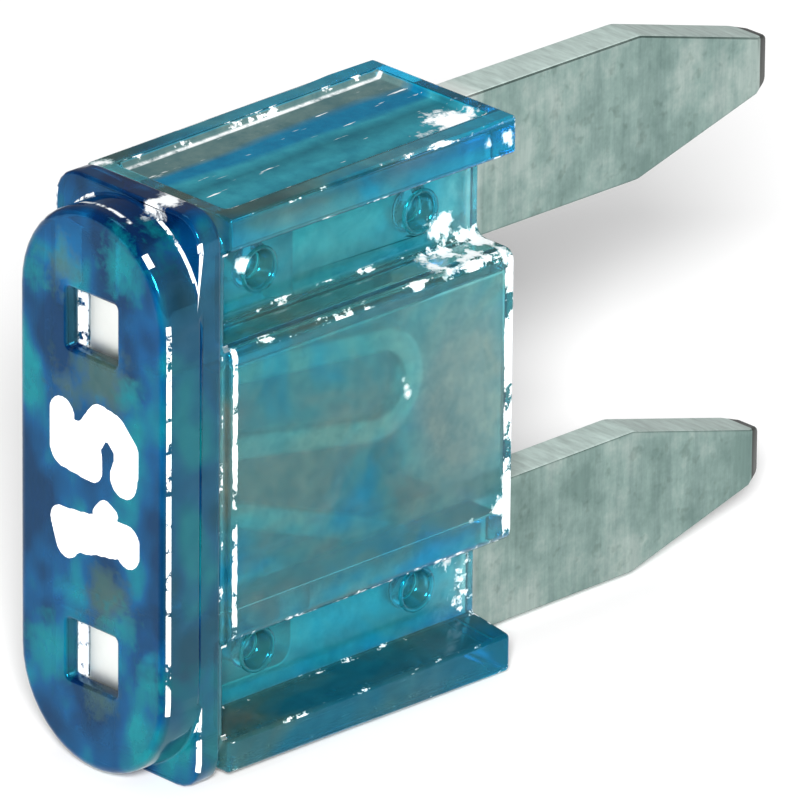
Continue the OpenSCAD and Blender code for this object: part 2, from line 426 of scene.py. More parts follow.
    def facing(self, axis):
        """How squarely the surface faces along one axis, from 0 to 1."""
        surface = self.add("ShaderNodeNewGeometry")
        sides = self.add("ShaderNodeSeparateXYZ")
        self.join(surface.outputs["Normal"], sides.inputs["Vector"])
        return self.maths("ABSOLUTE", sides.outputs[axis])

    def bump(self, height, depth, shader):
        """A bump whose height runs from 0 to depth, in millimetres."""
        node = self.add("ShaderNodeBump")
        node.inputs["Strength"].default_value = 1.0
        node.inputs["Distance"].default_value = depth * MM
        self.join(height, node.inputs["Height"])
        self.join(node.outputs["Normal"], shader.inputs["Normal"])


# Materials


class Moulding(Tree):
    """The clear moulding's colours and masks, from the noises and places that its parts share."""

    def __init__(self, look):
        super().__init__("blue_plastic_look")
        self.look = look
        self.ragged = self.noise((2.2, 2.2, 2.2), detail=4.0, rough=0.7)
        self.blotches = self.noise((0.35, 0.5, 0.45), detail=3.0, rough=0.55, distortion=0.8)
        self.lengthwise = self.noise((0.9, 6.0, 6.0), detail=3.0, rough=0.65)
        self.up = self.apart("Z", MIDDLE)
        self.aside = self.apart("Y", 0.0)
        self.body_part = self.above(self.along("X"), GROOVE_END)
        self.glint_breaks = self.glint_breakup()
        self.cap = self.above(self.apart("X", CAP_FACE), CAP_DEPTH, False, 0.1)
        self.field = self.matt_field()
        self.frames = self.both(
            self.above(self.up, FRAME_UP), self.above(self.aside, FRAME_OUT, True, 0.03), self.body_part
        )

    def glint_breakup(self):
        """Uneven spots, drawn out lengthwise between the groove and the open end, that break up the painted
        highlights.
        """
        spots = self.noise((3.5, 3.5, 3.5), detail=3.0, rough=0.75)
        between = self.both(self.above(self.along("X"), -6.3), self.above(self.along("X"), 0.0, False))
        return self.mix("MIX", between, spots, self.lengthwise)

    def matt_field(self):
        """The floors and walls of the shallow recesses in both narrow sides."""
        return self.both(
            self.above(self.up, FIELD_UP),
            self.above(self.apart("X", FIELD_X * MM), FIELD_REACH, False),
            self.above(self.aside, FIELD_OUT, False),
        )

    def wall_colour(self):
        """Uneven colour of the thin walls."""
        look = self.look
        return self.ramp(
            self.blotches, (0.36, look.blue_tint), (0.5, look.wall_tint), (0.64, look.smoky_tint)
        )

    def cap_colour(self):
        """Deep clouds of colour in the solid cap and collar, with greyer and brighter patches, and painted
        shade on the broad sides.
        """
        look = self.look
        cloud = self.noise((0.6, 0.7, 0.5), detail=2.0, rough=0.55)
        deep = self.ramp(cloud, (0.42, look.cap_deep), (0.54, look.cap_blue), (0.66, look.cap_teal))
        for colour in ("cap_smoky", "cap_teal"):
            spots = [
                ((0.0, across, MIDDLE / MM + up), size, 0.9)
                for across, up, size, name in CAP_PATCHES if name == colour
            ]
            here = self.patches((0.0, 1.0, 1.0), spots, self.ragged, 0.28)
            deep = self.tint(here, deep, getattr(look, colour))
        # Painted shade: the cap's broad sides are tinted darker than its face
        broad = self.both(self.above(self.facing("Y"), 0.7, True, 0.2), 0.6)
        return self.tint(broad, deep, look.cap_side_shade)

    def tint_panel(self, body):
        """A greyer field near the panel's open end."""
        squeeze = 0.6
        place = (-0.9, 0.0, squeeze * (MIDDLE / MM + 0.2))
        grey = self.patches((1.0, 0.0, squeeze), [(place, 1.1, 1.0)], self.blotches, 0.4)
        grey = self.both(grey, self.above(self.up, PANEL_UP, False))
        return self.tint(grey, body, self.look.grey_tint)

    def tint_rails(self, body):
        """Bluer ends of the rails, and the channels between them, paler at their open ends."""
        look = self.look
        rail = self.above(self.up, RAIL_UP + 0.05, True, 0.1)
        end = self.above(self.along("X"), -1.8, True, 1.6)
        body = self.tint(self.both(rail, end), body, look.rail_blue)
        channel = self.both(
            self.above(self.up, RAIL_UP, False, 0.1), self.above(self.up, CHANNEL_UP, True, 0.1)
        )
        body = self.tint(self.both(channel, self.body_part, 0.6), body, look.channel_tint)
        mouth = self.both(channel, self.above(self.along("X"), -0.6, True, 0.5), self.ragged)
        return self.tint(mouth, body, look.mouth_tint)

    def matt_colour(self):
        """Streaks of teal, blue and grey that run along the matt fields."""
        look = self.look
        streaks = self.noise((0.25, 1.3, 1.3), detail=2.0, rough=0.6)
        across = self.maths("MULTIPLY_ADD", self.along("Y"), 0.35, 0.5)
        across = self.maths("ADD", across, self.spread(streaks, -0.12, 0.12))
        return self.ramp(
            across, (0.0, look.matt_dark), (0.2, look.matt_pale), (0.38, look.matt_dark),
            (0.5, look.matt_pale), (0.58, look.matt_blue), (0.68, look.matt_blue),
            (0.76, look.matt_grey), (0.94, look.matt_grey),
        )

    def colour(self):
        """The whole moulding's colour, before it is rubbed."""
        body = self.mix("MIX", self.cap, self.wall_colour(), self.cap_colour())
        body = self.tint_rails(self.tint_panel(body))
        body = self.mix("MIX", self.field, body, self.matt_colour())
        body = self.tint(self.both(self.frames, 0.7), body, self.look.matt_frame)
        grain = self.ramp(self.ragged, (0.35, (0.7, 0.8, 0.84)), (0.65, (1.25, 1.12, 1.08)))
        return self.mix("MULTIPLY", 1.0, body, grain)

    def painted_edge_highlights(self):
        """Painted white highlights in dashes along the edges, with the panel's two ends and specks in the
        groove.
        """
        with_painted_light = self.add("ShaderNodeAttribute", attribute_name="rubbed").outputs["Fac"]
        panel = self.both(self.above(self.aside, PANEL_OUT), self.above(self.up, PANEL_UP, False))
        for middle, reach, amount in HIGHLIGHT_BANDS:
            band = self.above(self.apart("X", middle * MM), reach, False)
            with_painted_light = self.most(with_painted_light, self.both(panel, band, amount))
        score = self.maths("ADD", with_painted_light, self.spread(self.ragged, -1.0, 1.0))
        score = self.maths("ADD", score, self.spread(self.glint_breaks, -0.7, 0.7))
        return self.both(self.above(score, 0.64, True, 0.06), self.above(with_painted_light, 0.2))

    def painted_ledge_highlights(self):
        """Painted white highlights on the ledges beside the metal in the test windows."""
        start, end = CAP_FACE / MM + 0.28, CAP_FACE / MM + 0.36
        ledge = self.both(
            self.above(self.along("X"), end, False), self.look.ledge_highlight,
            self.above(self.along("X"), start), self.above(self.aside, LEDGE_OUT, False),
        )
        return self.both(ledge, self.above(self.glint_breaks, 0.45, True, 0.05))

    def painted_glint_spots(self):
        """Painted white glints in spots on the broad sides, some near the dimples where the posts were
        pressed in, and on the top.
        """
        masks = []
        for out in (CHANNEL_OUT, PROUD_OUT):
            spots = [
                ((along, 0.0, MIDDLE / MM + up), size, broken)
                for along, up, size, broken, least in SIDE_GLINTS if least == out
            ]
            here = self.patches((1.0, 0.0, 1.0), spots, self.ragged)
            masks.append(self.both(here, self.above(self.aside, out)))
        roof = self.above(self.along("Z"), MIDDLE / MM + 5.2)
        spots = [((along, across, 0.0), size, broken) for along, across, size, broken in TOP_GLINTS]
        here = self.patches((1.0, 1.0, 0.0), spots, self.ragged, 0.12)
        return self.most(*masks, self.both(here, roof))

    def field_glints(self):
        """Fine glints along the matt fields and at the foot of their side walls."""
        glints = self.both(self.above(self.lengthwise, 0.69, True, 0.03), self.field)
        foot = self.above(self.apart("Y", 1.3 * MM), 0.04, False, 0.02)
        foot = self.both(foot, self.field, self.above(self.ragged, 0.42, True, 0.1))
        return self.both(self.most(glints, foot), 0.9)


def clear_plastic(look):
    """Hazy see-through moulding, deep blue where it is thick, with matt fields and painted white highlights
    and glints.
    """
    tree = Moulding(look)
    shader = tree.shader(ior=look.refraction, specular_tint=(*look.gloss_tint, 1.0))
    depth = tree.add("ShaderNodeVolumeAbsorption")
    depth.inputs["Color"].default_value = (*look.depth_colour, 1.0)
    depth.inputs["Density"].default_value = look.depth_per_mm / MM
    tree.join(depth.outputs["Volume"], tree.out.inputs["Volume"])
    # Painted white highlights and glints on edges, ledges, spots and the matt fields
    rubbed = tree.most(tree.painted_edge_highlights(), tree.painted_ledge_highlights(), tree.painted_glint_spots(), tree.field_glints())
    tree.join(tree.tint(rubbed, tree.colour(), look.highlight_colour), shader.inputs["Base Color"])
    rough = tree.most(tree.spread(tree.field, look.roughness, look.frost), rubbed)
    tree.join(tree.maths("MINIMUM", rough, 0.5), shader.inputs["Roughness"])
    clear = tree.spread(tree.cap, look.clearness, look.cap_clearness)
    for mask, clearness in ((tree.field, 0.0), (tree.frames, 0.5), (rubbed, 0.1)):
        clear = tree.maths("MINIMUM", clear, tree.spread(mask, 1.0, clearness))
    tree.join(clear, shader.inputs["Transmission Weight"])
    return tree.material


def zinc(look):
    """Dull zinc alloy with fine marks across the blades and darker blotches; the top and bottom edges are
    paler, partly as sheared metal and partly as a painted highlight, with a painted shade line along their
    rounding and painted shade at the tips.
    """
    tree = Tree("zinc_look")
    shader = tree.shader(metallic=1.0, roughness=0.4)
    marks = tree.noise((7.0, 1.5, 0.55), detail=4.0, rough=0.65)
    blotches = tree.noise((0.7, 0.8, 0.6), detail=5.0, rough=0.68)
    pits = tree.noise((3.2, 3.2, 3.2), detail=2.0, rough=0.6)
    body = tree.ramp(blotches, (0.36, look.dark), (0.5, look.colour), (0.64, look.pale))
    streaks = tree.ramp(marks, (0.3, (0.84, 0.86, 0.86)), (0.7, (1.1, 1.1, 1.08)))
    specks = tree.ramp(pits, (0.3, (0.7, 0.72, 0.7)), (0.4, (1.0, 1.0, 1.0)))
    with_painted_light = tree.mix("MULTIPLY", 1.0, body, streaks)
    with_painted_light = tree.mix("MULTIPLY", 0.6, with_painted_light, specks)
    edge = tree.facing("Z")
    # Edges facing up or down: paler sheared metal, partly a painted highlight
    sheared_and_lit = tree.above(edge, 0.6, True, 0.2)
    with_painted_light = tree.mix("MIX", sheared_and_lit, with_painted_light, tree.ramp(marks, (0.3, look.pale), (0.7, brighter(look.pale, 1.5))))
    # Painted shade along the rounding between the broad faces and the edges
    edge_shade = tree.both(tree.above(edge, 0.2, True, 0.1), tree.above(edge, 0.85, False, 0.05))
    with_painted_light = tree.mix("MULTIPLY", tree.both(edge_shade, 0.3), with_painted_light, tree.plain(look.dark))
    # Painted shade: the tips beyond the coined facets' start are near black
    with_painted_light = tree.tint(tree.above(tree.along("X"), COINED_X, True, 0.01), with_painted_light, look.coined_shade)
    inside = tree.above(tree.along("X"), 0.5, False, 0.4)
    clean = tree.ramp(blotches, (0.3, look.clean), (0.7, brighter(look.clean, 1.1)))
    tree.join(tree.mix("MIX", inside, with_painted_light, clean), shader.inputs["Base Color"])
    tree.join(tree.spread(sheared_and_lit, 1.0, 0.3), shader.inputs["Metallic"])
    tree.join(tree.spread(blotches, 0.28, 0.55), shader.inputs["Roughness"])
    tree.bump(marks, look.mark_depth, shader)
    return tree.material


def brighter(colour, times):
    """A colour times a number, at most white."""
    return tuple(min(1.0, c * times) for c in colour)


def print_ink(look):
    """Thick white printing ink, with a slightly uneven coat."""
    tree = Tree("print_look")
    shader = tree.shader(roughness=0.45)
    coat = tree.noise((2.5, 2.5, 2.5), detail=3.0)
    shade = brighter(look.colour, 0.93)
    tree.join(tree.ramp(coat, (0.3, shade), (0.6, look.colour)), shader.inputs["Base Color"])
    tree.bump(coat, 0.004, shader)
    return tree.material


def pale_surface(name, look):
    """A plain matt floor, white in the studio's light, that keeps the shadow."""
    tree = Tree(name)
    cloth = tree.add("ShaderNodeBsdfDiffuse")
    cloth.inputs["Color"].default_value = (*look.floor_colour, 1.0)
    tree.join(cloth.outputs["BSDF"], tree.out.inputs["Surface"])
    return tree.material


def seen_directly(tree, directly, otherwise):
    """One amount for rays from the camera and through clear pieces, and another for the rest."""
    path = tree.nodes.new("ShaderNodeLightPath")
    either = tree.nodes.new("ShaderNodeMath")
    either.operation = "MAXIMUM"
    tree.links.new(path.outputs["Is Camera Ray"], either.inputs[0])
    tree.links.new(path.outputs["Is Transmission Ray"], either.inputs[1])
    span = tree.nodes.new("ShaderNodeMapRange")
    span.inputs["To Min"].default_value = otherwise
    span.inputs["To Max"].default_value = directly
    tree.links.new(either.outputs["Value"], span.inputs["Value"])
    return span.outputs["Result"]


# Settings that a user would change


def colour_setting(name, description, default):
    return FloatVectorProperty(
        name=name, description=description, default=default, subtype="COLOR", min=0.0, max=1.0
    )


def share_setting(name, description, default):
    """A setting from 0 to 1."""
    return FloatProperty(
        name=name, description=description, default=default, subtype="FACTOR", min=0.0, max=1.0
    )


def length_setting(name, description, default):
    """A length in millimetres."""
    return FloatProperty(name=name, description=description + ", in millimetres", default=default, min=0.0)


class PlasticLook(bpy.types.PropertyGroup):
    wall_tint: colour_setting("Wall tint", "Tint that each wall gives", (0.22, 0.65, 0.62))
    blue_tint: colour_setting("Blue tint", "Tint of the bluer blotches", (0.04, 0.58, 0.85))
    smoky_tint: colour_setting("Smoky tint", "Tint of the greyer blotches", (0.44, 0.62, 0.5))
    grey_tint: colour_setting("Grey tint", "Tint of the panel near its open end", (0.5, 0.6, 0.5))
    cap_blue: colour_setting("Cap blue", "Deep tint of the cap's bluer parts", (0.001, 0.09, 0.28))
    cap_smoky: colour_setting("Cap smoky", "Tint of the cap's greyer parts", (0.08, 0.14, 0.11))
    # Painted shade on the cap's broad sides
    cap_side_shade: colour_setting("Cap side", "Tint of the cap's broad sides", (0.03, 0.085, 0.08))
    cap_deep: colour_setting("Cap deep", "Darkest blue of the cap", (0.0005, 0.018, 0.1))
    cap_teal: colour_setting("Cap teal", "Tint of the cap's brightest parts", (0.004, 0.3, 0.34))
    cap_clearness: share_setting("Cap clearness", "How clear the cap and collar are", 0.55)
    # Amount of painted white highlight on the window ledges
    ledge_highlight: share_setting("Ledge wear", "White wear in the test windows", 1.0)
    channel_tint: colour_setting("Channel tint", "Tint of the thin channel walls", (0.06, 0.85, 0.9))
    gloss_tint: colour_setting("Gloss tint", "Tint of the reflections on the moulding", (0.02, 0.6, 1.0))
    roughness: share_setting("Roughness", "Roughness of the plain walls", 0.11)
    clearness: share_setting("Clearness", "Share of the light that passes, the rest being haze", 0.9)
    depth_colour: colour_setting(
        "Depth colour", "Colour that long ways through the plastic keep", (0.06, 0.73, 0.9)
    )
    depth_per_mm: FloatProperty(
        name="Depth", description="How fast the depth colour builds up, for each millimetre",
        default=1.1, min=0.0,
    )
    frost: share_setting("Frost", "Roughness of the matt fields on both narrow sides", 0.5)
    matt_dark: colour_setting("Matt dark", "Darker tint of the matt fields", (0.012, 0.13, 0.17))
    matt_blue: colour_setting("Matt blue", "Blue of the matt fields' middle strip", (0.004, 0.14, 0.26))
    matt_grey: colour_setting("Matt grey", "Grey of the matt fields' far strip", (0.085, 0.15, 0.145))
    matt_pale: colour_setting("Matt pale", "Paler tint of the matt fields", (0.025, 0.23, 0.29))
    matt_frame: colour_setting(
        "Matt frame", "Tint of the narrow frames round the matt fields", (0.02, 0.24, 0.34)
    )
    rail_blue: colour_setting("Rail blue", "Deep tint of the rails' open ends", (0.002, 0.6, 0.95))
    mouth_tint: colour_setting("Mouth tint", "Pale tint of the channels' open ends", (0.75, 0.97, 0.97))
    # Colour of the painted white highlights and glints
    highlight_colour: colour_setting("Rubbed", "Colour of the rubbed edges", (0.95, 0.97, 0.97))
    refraction: FloatProperty(name="Refraction", description="Index of refraction", default=1.58, min=1.0)
    rim: length_setting("Rim", "Half the height of the rims round the dimples", 0.045)
    edge_round: length_setting("Edge rounding", "Width of the rounded edges", 0.07)


class ZincLook(bpy.types.PropertyGroup):
    colour: colour_setting("Colour", "Main colour of the metal", (0.265, 0.37, 0.345))
    dark: colour_setting("Dark", "Colour of the dark blotches", (0.18, 0.27, 0.25))
    pale: colour_setting("Pale", "Colour of the pale blotches", (0.40, 0.49, 0.46))
    # Painted shade: near black for the blades' tips
    coined_shade: colour_setting("Coined", "Colour of the coined facets at the tips", (0.05, 0.055, 0.05))
    clean: colour_setting(
        "Clean", "Colour of the bright metal that the moulding keeps clean", (0.86, 0.88, 0.85)
    )
    mark_depth: length_setting("Mark depth", "Depth of the fine cross marks", 0.004)
    edge_round: length_setting("Edge rounding", "Width of the punched edges' rounding", 0.05)


class PrintLook(bpy.types.PropertyGroup):
    colour: colour_setting("Ink", "Colour of the printed rating", (0.92, 0.93, 0.93))
    stroke: length_setting("Stroke", "Width of the digits' strokes", 0.62)
    coat: length_setting("Coat", "How far the ink stands on the cap", 0.006)


class StageLook(bpy.types.PropertyGroup):
    azimuth: FloatProperty(
        name="Azimuth", description="Direction of the camera round the fuse", subtype="ANGLE",
        default=math.radians(-43.99),
    )
    elevation: FloatProperty(
        name="Elevation", description="Height of the camera above the horizon", subtype="ANGLE",
        default=math.radians(23.07),
    )
    roll: FloatProperty(
        name="Roll", description="Lean of the camera", subtype="ANGLE", default=math.radians(0.554)
    )
    distance: FloatProperty(
        name="Distance", description="Distance of the camera", subtype="DISTANCE", default=0.24463
    )
    lens: FloatProperty(name="Lens", description="Focal length, in millimetres", default=617.2)
    aim: FloatVectorProperty(
        name="Aim", description="Point that the camera looks at", subtype="XYZ",
        default=(-0.00072, 0.0, 0.00507), precision=5,
    )
    floor_colour: colour_setting("Floor", "Colour of the floor", (0.95, 0.95, 0.95))
    world_light: FloatProperty(
        name="World", description="Strength of the light from all round", default=0.25, min=0.0
    )


# Operators, one for each piece and one for the stage


class FUSE_OT_set_stage(bpy.types.Operator):
    """Lay the floor, hang the lamps and set up the camera"""

    bl_idname = "fuse.set_stage"
    bl_label = "Set Stage"

    def execute(self, context):
        look = context.scene.fuse_stage
        self.lay_floor(look)
        self.light_world(context, look)
        self.hang_lamps()
        self.set_camera(context, look)
        self.set_bounces(context.scene.cycles)
        return {"FINISHED"}

    def lay_floor(self, look):
        half = 1.0
        mesh = bpy.data.meshes.new("floor")
        corners = [(-half, -half, 0), (half, -half, 0), (half, half, 0), (-half, half, 0)]
        mesh.from_pydata(corners, [], [(0, 1, 2, 3)])
        mesh.materials.append(pale_surface("pale_floor", look))
        new_object("floor", mesh)

    def light_world(self, context, look):
        world = bpy.data.worlds.new("soft_studio")
        context.scene.world = world
        world.use_nodes = True
        sky = world.node_tree.nodes["Background"]
        sky.inputs["Color"].default_value = (1, 1, 1, 1)
        strength = seen_directly(world.node_tree, 1.0, look.world_light)
        world.node_tree.links.new(strength, sky.inputs["Strength"])

    def hang_lamps(self):
        # Name, azimuth and elevation in degrees, width and height in metres, light on a facing white card
        lamps = (
            ("key", -44, 27, 0.22, 0.22, 2.0),
            ("top", 150, 72, 0.4, 0.25, 0.08),
        )
        for name, azimuth, elevation, wide, high, level in lamps:
            back = direction(math.radians(azimuth), math.radians(elevation))
            data = bpy.data.lights.new(name, "AREA")
            data.shape = "RECTANGLE"
            data.size, data.size_y = wide, high
            data.energy = level * math.pi ** 2
            lamp = bpy.data.objects.new(name, data)
            lamp.location = Vector((0, 0, MIDDLE)) + back
            lamp.rotation_euler = (-back).to_track_quat("-Z", "Y").to_euler()
            bpy.context.scene.collection.objects.link(lamp)

    def set_camera(self, context, look):
        data = bpy.data.cameras.new("camera")
        data.lens = look.lens
        data.sensor_width = 36.0
        data.clip_start, data.clip_end = 0.01, 10.0
        camera = bpy.data.objects.new("camera", data)
        back = direction(look.azimuth, look.elevation)
        camera.location = Vector(look.aim) + back * look.distance
        turn = (-back).to_track_quat("-Z", "Y").to_matrix()
        camera.rotation_euler = (turn @ Matrix.Rotation(look.roll, 3, "Z")).to_euler()
        context.scene.collection.objects.link(camera)
        context.scene.camera = camera
        context.scene.view_settings.view_transform = "Standard"

    def set_bounces(self, cycles):
        # Light turns back many times inside a clear moulding
        cycles.glossy_bounces = 8
        cycles.transmission_bounces = 11
        cycles.max_bounces = 14
        cycles.caustics_refractive = False
        cycles.caustics_reflective = False


class FUSE_OT_mould_housing(bpy.types.Operator):
    """Dress the one-piece moulding in clear blue plastic, with its edges softly rounded"""

    bl_idname = "fuse.mould_housing"
    bl_label = "Mould Housing"

    def execute(self, context):
        look = context.scene.fuse_plastic
        piece = solid_copy("housing", "housing_shell", look.edge_round, 3)
        self.paint_edge_highlights(piece.data)
        piece.data.materials.append(clear_plastic(look))
        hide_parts("housing")
        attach(piece, BODY)
        return {"FINISHED"}

    def paint_edge_highlights(self, mesh):
        """Marks how much painted white highlight each rounded edge gets, in place of glints along the edges.
        """
        marks = mesh.attributes.new("rubbed", "FLOAT", "FACE")
        for face, mark in zip(mesh.polygons, marks.data):
            if max(abs(c) for c in face.normal) > 0.985:
                continue
            along = (face.center.x - CAP_FACE) / MM
            out = abs(face.center.y) / MM
            up = abs(face.center.z - MIDDLE) / MM
            upper = face.center.z > MIDDLE
            round_nose = math.hypot(out, max(up - 3.43, 0.0))
            turned = 0.08 < abs(face.normal.x) < 0.6
            rim = along < 0.2 and round_nose > 1.75 and turned
            rim = rim and (1.2 < out and (up < 3.8 or 4.6 < up < 5.1) if upper else out > 1.75 and up < 3.8)
            # Amount of painted highlight and place: cap rim, collar's arc and sides, panel, channel floors,
            # rails, matt fields
            painted_highlight = (
                (0.78, rim),
                (0.78, upper and 0.8 < along < 0.92 and 1.8 < round_nose < 2.05 and out > 0.8 and up > 4.2),
                (0.78, 0.82 < along < 0.96 and out > 1.8 and up > 4.1),
                (0.46, along > 1.7 and out > 1.7 and 2.6 < up < 2.9),
                (0.4, along > 1.7 and 0.85 < out < 1.0 and (up > 4.4 or up < 3.0)),
                (0.4, along > 1.7 and out > 1.3 and up > 4.5),
                (0.36, along > 1.8 and 1.3 < out < 1.55 and up > 5.0),
            )
            mark.value = max([amount for amount, here in painted_highlight if here], default=0.0)


class FUSE_OT_raise_stake_rims(bpy.types.Operator):
    """Raise the thin rims of plastic that the pressed stakes leave round each of the eight dimples"""

    bl_idname = "fuse.raise_stake_rims"
    bl_label = "Raise Stake Rims"

    def execute(self, context):
        look = context.scene.fuse_plastic
        guide = new_object("stake_guide", bpy.data.meshes.new("stake_guide"))
        maker = guide.modifiers.new("stakes", "NODES")
        maker.node_group = stake_rims()
        material = bpy.data.objects["housing_shell"].data.materials[0]
        set_inputs(maker, {
            "Middle": (-3.1 * MM, 0.0, MIDDLE), "Pitch": 3.9 * MM, "Span": 7.29 * MM, "Depth": 1.82 * MM,
            "Radius": 0.39 * MM, "Rim": look.rim * MM, "Plastic": material,
        })
        piece = plain_piece(guide, "stake_rims")
        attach(piece, BODY)
        return {"FINISHED"}


class FUSE_OT_stamp_element(bpy.types.Operator):
    """Dress the metal stamping in dull zinc, with its punched edges rolled over"""

    bl_idname = "fuse.stamp_element"
    bl_label = "Stamp Element"

    def execute(self, context):
        look = context.scene.fuse_zinc
        piece = solid_copy("fuse_element", "zinc_stamping", look.edge_round, 2)
        piece.data.materials.append(zinc(look))
        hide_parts("fuse_element")
        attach(piece, BODY)
        return {"FINISHED"}


class FUSE_OT_print_rating(bpy.types.Operator):
    """Print the plain rating digits on the cap's face"""

    bl_idname = "fuse.print_rating"
    bl_label = "Print Rating"

    # Strokes as points across the thickness and along the width, in millimetres, with a relative weight
    FIVE = (
        ((0.75, 1.30, 1.0), (0.73, 0.62, 1.05), (0.35, 0.58, 1.05), (0.0, 0.50, 0.9)),
        ((0.50, 0.90, 1.1), (0.10, 0.98, 1.08), (-0.22, 1.44, 1.0), (-0.60, 1.38, 1.0), (-0.9, 1.08, 1.02),
         (-0.9, 0.75, 1.0), (-0.83, 0.5, 1.08)),
        ((0.0, 0.50, 0.9), (0.03, 0.75, 0.95), (0.06, 1.00, 1.0)),
    )
    ONE = (
        ((0.78, -0.74, 0.85), (0.62, -1.13, 0.92)),
        ((0.72, -0.76, 0.9), (0.2, -0.8, 1.2), (-0.5, -0.7, 1.2), (-0.93, -0.62, 1.0), (-0.94, -0.84, 0.95)),
        ((0.62, -1.1, 0.9), (0.4, -0.92, 1.0), (0.1, -0.85, 1.1)),
        ((-0.2, -0.34, 0.5), (-0.36, -0.2, 0.6), (-0.56, -0.24, 0.4)),
    )

    def execute(self, context):
        look = context.scene.fuse_print
        ink = print_ink(look)
        for name, strokes in (("digit_five", self.FIVE), ("digit_one", self.ONE)):
            self.print_digit(name, strokes, look, ink)
        return {"FINISHED"}

    def print_digit(self, name, strokes, look, ink):
        paths = bpy.data.curves.new(name + "_paths", "CURVE")
        paths.dimensions = "3D"
        for stroke in strokes:
            spline = paths.splines.new("POLY")
            spline.points.add(len(stroke) - 1)
            for point, (across, along, weight) in zip(spline.points, stroke):
                point.co = (0.0, across, along, 1.0)
                point.radius = weight
        guide = new_object(name + "_guide", paths)
        brush = guide.modifiers.new("brush", "NODES")
        brush.node_group = ink_brush()
        set_inputs(brush, {"Stroke": look.stroke, "Coat": look.coat, "Ink": ink})
        piece = plain_piece(guide, name)
        piece.data.transform(Matrix.Translation((CAP_FACE, 0.0, MIDDLE)))
        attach(piece, BODY)


def set_inputs(modifier, values):
    """Sets a node modifier's inputs by their sockets' identifiers."""
    for item in modifier.node_group.interface.items_tree:
        if item.item_type == "SOCKET" and item.in_out == "INPUT" and item.name in values:
            modifier[item.identifier] = values[item.name]


def plain_piece(guide, name):
    """The evaluated shape of a guide as a plain mesh piece, and the guide taken away."""
    depsgraph = bpy.context.evaluated_depsgraph_get()
    mesh = bpy.data.meshes.new_from_object(guide.evaluated_get(depsgraph))
    if not mesh.polygons:
        raise RuntimeError(f"{name} came out without a face")
    mesh.name = name
    bpy.data.objects.remove(guide)
    return new_object(name, mesh)


def node_maths(group, operation, first, second):
    """A maths node in a geometry tree, fed by numbers or sockets."""
    node = group.nodes.new("ShaderNodeMath")
    node.operation = operation
    for socket, value in zip(node.inputs, (first, second)):
        if isinstance(value, (int, float)):
            socket.default_value = value
        else:
            group.links.new(value, socket)
    return node.outputs["Value"]


def stake_rims():
    """A tree that sets a rim at the four dimples of each face."""
    group = bpy.data.node_groups.new("stake_rims", "GeometryNodeTree")
    sockets = group.interface
    sockets.new_socket("Geometry", in_out="INPUT", socket_type="NodeSocketGeometry")
    sockets.new_socket("Middle", in_out="INPUT", socket_type="NodeSocketVector")
    for name in ("Pitch", "Span", "Depth", "Radius", "Rim"):
        sockets.new_socket(name, in_out="INPUT", socket_type="NodeSocketFloat")
    sockets.new_socket("Plastic", in_out="INPUT", socket_type="NodeSocketMaterial")
    sockets.new_socket("Geometry", in_out="OUTPUT", socket_type="NodeSocketGeometry")
    nodes, links = group.nodes, group.links
    given = nodes.new("NodeGroupInput")
    result = nodes.new("NodeGroupOutput")
    corners = nodes.new("GeometryNodeMeshGrid")
    corners.inputs["Vertices X"].default_value = 2
    corners.inputs["Vertices Y"].default_value = 2
    links.new(given.outputs["Pitch"], corners.inputs["Size X"])
    links.new(given.outputs["Span"], corners.inputs["Size Y"])
    upright = nodes.new("GeometryNodeTransform")
    upright.inputs["Rotation"].default_value = (math.radians(90), 0.0, 0.0)
    links.new(corners.outputs["Mesh"], upright.inputs["Geometry"])
    both_faces = nodes.new("GeometryNodeJoinGeometry")
    for side in (-0.5, 0.5):
        offset = nodes.new("ShaderNodeCombineXYZ")
        links.new(node_maths(group, "MULTIPLY", given.outputs["Depth"], side), offset.inputs["Y"])
        at = nodes.new("ShaderNodeVectorMath")
        at.operation = "ADD"
        links.new(offset.outputs["Vector"], at.inputs[0])
        links.new(given.outputs["Middle"], at.inputs[1])
        face = nodes.new("GeometryNodeTransform")
        links.new(upright.outputs["Geometry"], face.inputs["Geometry"])
        links.new(at.outputs["Vector"], face.inputs["Translation"])
        links.new(face.outputs["Geometry"], both_faces.inputs["Geometry"])
    ring = nodes.new("GeometryNodeCurvePrimitiveCircle")
    ring.inputs["Resolution"].default_value = 40
    links.new(given.outputs["Radius"], ring.inputs["Radius"])
    section = nodes.new("GeometryNodeCurvePrimitiveCircle")
    section.inputs["Resolution"].default_value = 10
    links.new(given.outputs["Rim"], section.inputs["Radius"])
    rim = nodes.new("GeometryNodeCurveToMesh")
    links.new(ring.outputs["Curve"], rim.inputs["Curve"])
    links.new(section.outputs["Curve"], rim.inputs["Profile Curve"])
    stand = nodes.new("GeometryNodeTransform")
    stand.inputs["Rotation"].default_value = (math.radians(90), 0.0, 0.0)
    links.new(rim.outputs["Mesh"], stand.inputs["Geometry"])
    repeat = nodes.new("GeometryNodeInstanceOnPoints")
    links.new(both_faces.outputs["Geometry"], repeat.inputs["Points"])
    links.new(stand.outputs["Geometry"], repeat.inputs["Instance"])
    real = nodes.new("GeometryNodeRealizeInstances")
    links.new(repeat.outputs["Instances"], real.inputs["Geometry"])
    paint = nodes.new("GeometryNodeSetMaterial")
    links.new(real.outputs["Geometry"], paint.inputs["Geometry"])
    links.new(given.outputs["Plastic"], paint.inputs["Material"])
    links.new(paint.outputs["Geometry"], result.inputs["Geometry"])
    return group


